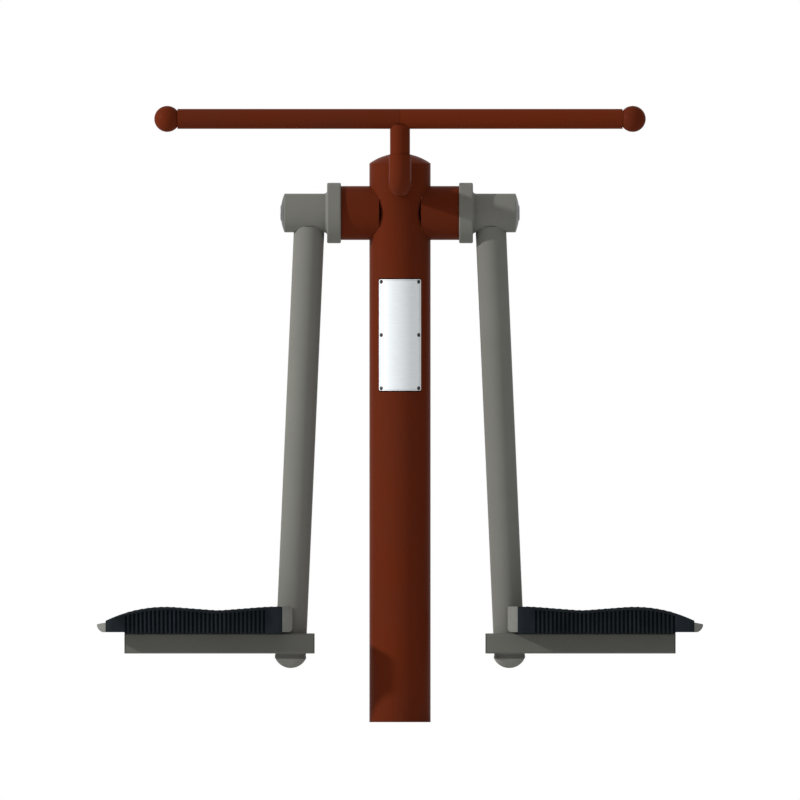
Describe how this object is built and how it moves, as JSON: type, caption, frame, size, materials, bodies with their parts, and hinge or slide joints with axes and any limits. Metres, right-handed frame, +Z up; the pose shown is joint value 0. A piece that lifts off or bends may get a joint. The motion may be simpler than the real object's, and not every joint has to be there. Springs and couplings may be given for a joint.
{
  "type": "outdoor air walker",
  "caption": "Free-standing outdoor air walker: a round post carries an axle with independently swinging legs and foot treads, and a ball-ended handle bar on an elbow.",
  "frame": {"origin": "centre of the post's foot, on the ground", "axes": "+Z up along the post, X along the axle, -Y towards the user and the handle bar"},
  "size_m": [1.2128, 0.392, 1.2326],
  "materials": {
    "red_paint": "gloss",
    "grey_paint": "semi-gloss",
    "tread_rubber": "satin",
    "grey_plastic": "satin",
    "black_plastic": "matt",
    "sign_metal": "satin",
    "stainless": "brushed",
    "bearing_steel": "ground",
    "cage_plastic": "matt",
    "dark_steel": "phosphated",
    "zinc_steel": "zinc plated",
    "buffer_rubber": "matt"
  },
  "bodies": {
    "stand": {"post_tube": "red_paint", "post_dome_cap": "red_paint", "foot_plate": "red_paint", "axle_tube": "red_paint", "axle_shaft": "bearing_steel", "axle_circlips": "dark_steel", "bearing_spacers": "bearing_steel", "axle_washers": "zinc_steel", "axle_nuts": "zinc_steel", "handle_elbow": "red_paint", "handle_stem": "red_paint", "handle_bar": "red_paint", "sign_plate": "sign_metal", "plate_rivets": "sign_metal", "left_axle_housing": "red_paint", "left_housing_end_plate": "red_paint", "left_stop_lug": "red_paint", "left_bearing_inner_rings": "bearing_steel", "left_handle_knob": "red_paint", "right_axle_housing": "red_paint", "right_housing_end_plate": "red_paint", "right_stop_lug": "red_paint", "right_bearing_inner_rings": "bearing_steel", "right_handle_knob": "red_paint"},
    "left_swing": {"left_hub_tube": "grey_paint", "left_hub_flange": "grey_paint", "left_stop_buffers": "buffer_rubber", "left_bearing_outer_rings": "bearing_steel", "left_hub_circlip": "dark_steel", "left_hub_end_cap": "stainless", "left_cap_button": "stainless", "left_leg_tube": "grey_paint", "left_leg_end_cap": "grey_paint", "left_foot_rail": "grey_paint", "left_rail_end_plugs": "black_plastic", "left_tread": "tread_rubber", "left_tread_nose": "grey_plastic", "left_heel_guards": "grey_plastic", "left_tread_screws": "zinc_steel", "left_tread_nuts": "zinc_steel"},
    "left_ball_set": {"left_bearing_balls": "bearing_steel", "left_bearing_cages": "cage_plastic"},
    "right_swing": {"right_hub_tube": "grey_paint", "right_hub_flange": "grey_paint", "right_stop_buffers": "buffer_rubber", "right_bearing_outer_rings": "bearing_steel", "right_hub_circlip": "dark_steel", "right_hub_end_cap": "stainless", "right_cap_button": "stainless", "right_leg_tube": "grey_paint", "right_leg_end_cap": "grey_paint", "right_foot_rail": "grey_paint", "right_rail_end_plugs": "black_plastic", "right_tread": "tread_rubber", "right_tread_nose": "grey_plastic", "right_heel_guards": "grey_plastic", "right_tread_screws": "zinc_steel", "right_tread_nuts": "zinc_steel"},
    "right_ball_set": {"right_bearing_balls": "bearing_steel", "right_bearing_cages": "cage_plastic"}
  },
  "joints": [
    {"name": "left_leg_swing", "type": "hinge", "parent": "stand", "child": "left_swing", "pos_m": [-0.173, 0, 1.0183], "axis": [1, 0, 0], "range_deg": [-60, 60]},
    {"name": "left_ball_roll", "type": "hinge", "parent": "stand", "child": "left_ball_set", "pos_m": [-0.173, 0, 1.0183], "axis": [1, 0, 0], "range_deg": [-40, 40]},
    {"name": "right_leg_swing", "type": "hinge", "parent": "stand", "child": "right_swing", "pos_m": [0.173, 0, 1.0183], "axis": [1, 0, 0], "range_deg": [-60, 60]},
    {"name": "right_ball_roll", "type": "hinge", "parent": "stand", "child": "right_ball_set", "pos_m": [0.173, 0, 1.0183], "axis": [1, 0, 0], "range_deg": [-40, 40]}
  ],
  "couplings": [
    {"joint": "left_ball_roll", "follows": "left_leg_swing", "ratio": 0.6033},
    {"joint": "right_ball_roll", "follows": "right_leg_swing", "ratio": 0.6033}
  ]
}
